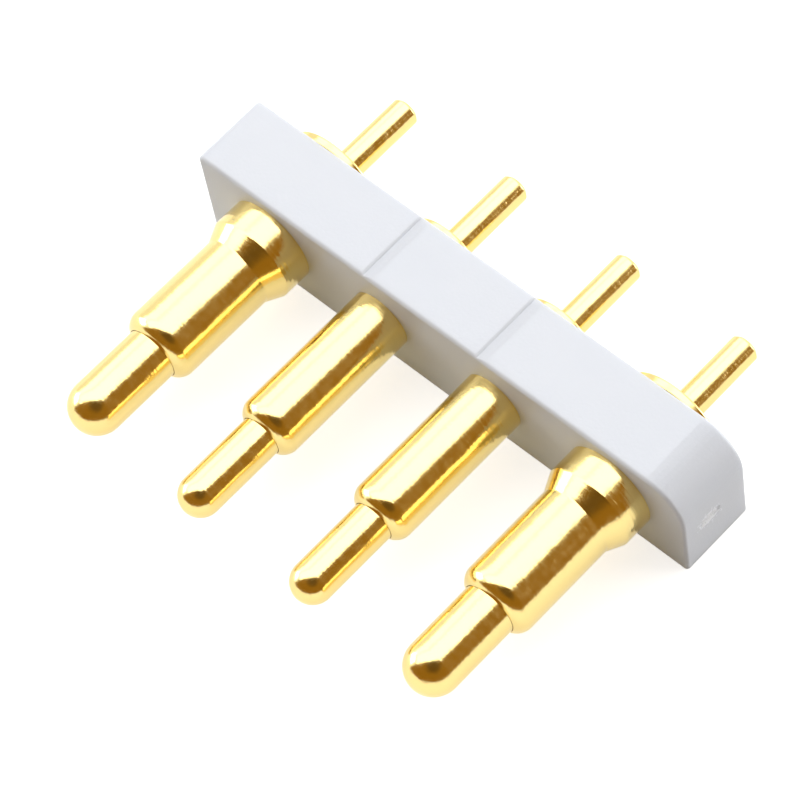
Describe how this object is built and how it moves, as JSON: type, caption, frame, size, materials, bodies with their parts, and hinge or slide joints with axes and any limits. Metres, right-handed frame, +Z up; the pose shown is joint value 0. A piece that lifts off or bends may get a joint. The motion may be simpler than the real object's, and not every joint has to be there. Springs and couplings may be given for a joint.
{
  "type": "pogo pin connector",
  "caption": "Row of gold-plated spring contacts in a light plastic bar, with round-nosed plungers in front and round solder tails behind.",
  "frame": {"origin": "middle of the housing's underside, opposite the keyed corner", "axes": "+X along the row towards the keyed end, +Y from the plungers towards the solder tails, +Z up from the underside"},
  "size_m": [0.014, 0.0106, 0.0027],
  "materials": {
    "plastic": "moulded satin",
    "gold_plate": "bright gold plate",
    "spring_steel": "drawn wire"
  },
  "bodies": {
    "connector": {"housing": "plastic", "barrel_1": "gold_plate", "barrel_2": "gold_plate", "barrel_3": "gold_plate", "barrel_4": "gold_plate", "spring_1": "spring_steel", "spring_2": "spring_steel", "spring_3": "spring_steel", "spring_4": "spring_steel"},
    "plunger_1": {"plunger_1": "gold_plate"},
    "plunger_2": {"plunger_2": "gold_plate"},
    "plunger_3": {"plunger_3": "gold_plate"},
    "plunger_4": {"plunger_4": "gold_plate"}
  },
  "joints": [
    {"name": "plunger_1_press", "type": "slide", "parent": "connector", "child": "plunger_1", "axis": [0, 1, 0], "range_m": [0, 0.0015], "stiffness_N_per_m": 665, "springref_m": -0.0005, "deforming": ["spring_1"]},
    {"name": "plunger_2_press", "type": "slide", "parent": "connector", "child": "plunger_2", "axis": [0, 1, 0], "range_m": [0, 0.0015], "stiffness_N_per_m": 610, "springref_m": -0.0005, "deforming": ["spring_2"]},
    {"name": "plunger_3_press", "type": "slide", "parent": "connector", "child": "plunger_3", "axis": [0, 1, 0], "range_m": [0, 0.0015], "stiffness_N_per_m": 610, "springref_m": -0.0005, "deforming": ["spring_3"]},
    {"name": "plunger_4_press", "type": "slide", "parent": "connector", "child": "plunger_4", "axis": [0, 1, 0], "range_m": [0, 0.0015], "stiffness_N_per_m": 665, "springref_m": -0.0005, "deforming": ["spring_4"]}
  ]
}
